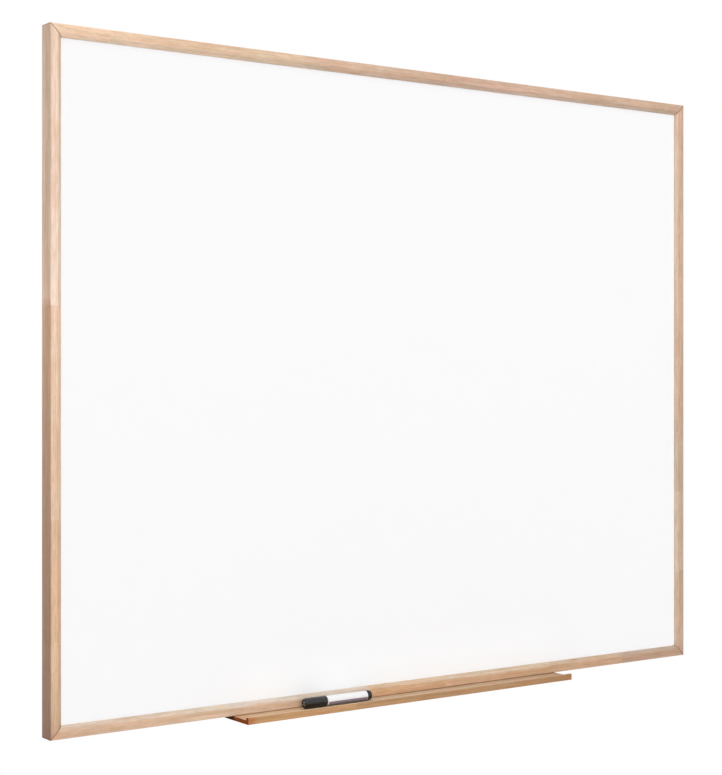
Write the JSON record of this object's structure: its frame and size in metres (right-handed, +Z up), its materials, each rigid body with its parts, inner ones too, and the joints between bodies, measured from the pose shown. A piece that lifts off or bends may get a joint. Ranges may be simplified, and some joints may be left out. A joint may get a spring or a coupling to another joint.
{
  "type": "framed whiteboard",
  "caption": "Wall-hung dry-erase board in a mitred wooden frame, with a lipped wooden pen tray under it and a capped marker lying on the tray.",
  "frame": {"origin": "on the wall plane, on the back face of the top rail, midway along it and 3 mm below the frame's top edge", "axes": "+X to the right of someone facing the board, +Z up, and the writing surface faces -Y; the back of the frame lies on y = 0"},
  "size_m": [1.125, 0.062, 0.9059],
  "materials": {
    "frame_wood": "clear satin lacquer on light wood, grain along each rail",
    "stile_wood_light": "clear satin lacquer on paler wood, grain along the stile",
    "tray_wood": "clear satin lacquer on light wood, a little warmer than the frame",
    "writing_enamel": "smooth white coat with a low gloss",
    "fibreboard": "raw brown fibreboard",
    "backing_steel": "dull grey coated steel",
    "zinc_plate": "bright zinc plate",
    "fixing_steel": "plain plated steel",
    "cap_plastic": "black moulded plastic with a soft gloss",
    "barrel_plastic": "white moulded plastic with a soft gloss",
    "liner_plastic": "natural whitish plastic",
    "ink_fibre": "ink-soaked fibre"
  },
  "bodies": {
    "board": {"top_rail": "frame_wood", "right_stile": "frame_wood", "bottom_rail": "frame_wood", "left_stile_lower": "frame_wood", "left_stile_upper": "stile_wood_light", "writing_sheet": "writing_enamel", "core_board": "fibreboard", "backing_sheet": "backing_steel", "panel_point_01": "fixing_steel", "panel_point_02": "fixing_steel", "panel_point_03": "fixing_steel", "panel_point_04": "fixing_steel", "panel_point_05": "fixing_steel", "panel_point_06": "fixing_steel", "panel_point_07": "fixing_steel", "panel_point_08": "fixing_steel", "panel_point_09": "fixing_steel", "panel_point_10": "fixing_steel", "panel_point_11": "fixing_steel", "panel_point_12": "fixing_steel", "panel_point_13": "fixing_steel", "panel_point_14": "fixing_steel", "corner_plate_top_left": "zinc_plate", "corner_plate_top_right": "zinc_plate", "corner_plate_bottom_right": "zinc_plate", "corner_plate_bottom_left": "zinc_plate", "v_nail_top_left": "fixing_steel", "v_nail_top_right": "fixing_steel", "v_nail_bottom_right": "fixing_steel", "v_nail_bottom_left": "fixing_steel", "plate_screw_top_left_1": "fixing_steel", "plate_screw_top_left_2": "fixing_steel", "plate_screw_top_right_1": "fixing_steel", "plate_screw_top_right_2": "fixing_steel", "plate_screw_bottom_right_1": "fixing_steel", "plate_screw_bottom_right_2": "fixing_steel", "plate_screw_bottom_left_1": "fixing_steel", "plate_screw_bottom_left_2": "fixing_steel", "marker_tray": "tray_wood", "tray_screw_1": "fixing_steel", "tray_screw_2": "fixing_steel", "tray_screw_3": "fixing_steel"},
    "marker": {"marker_nose": "barrel_plastic", "marker_nib": "ink_fibre", "marker_barrel": "barrel_plastic", "ink_reservoir": "ink_fibre", "marker_end_plug": "cap_plastic"},
    "cap": {"marker_cap": "cap_plastic", "cap_liner": "liner_plastic"}
  },
  "joints": [
    {"name": "marker_lift", "type": "slide", "parent": "board", "child": "marker", "axis": [0, 0, 1], "range_m": [0, 0.12]},
    {"name": "cap_pull", "type": "slide", "parent": "marker", "child": "cap", "axis": [-1, 0, 0], "range_m": [0, 0.05]}
  ]
}
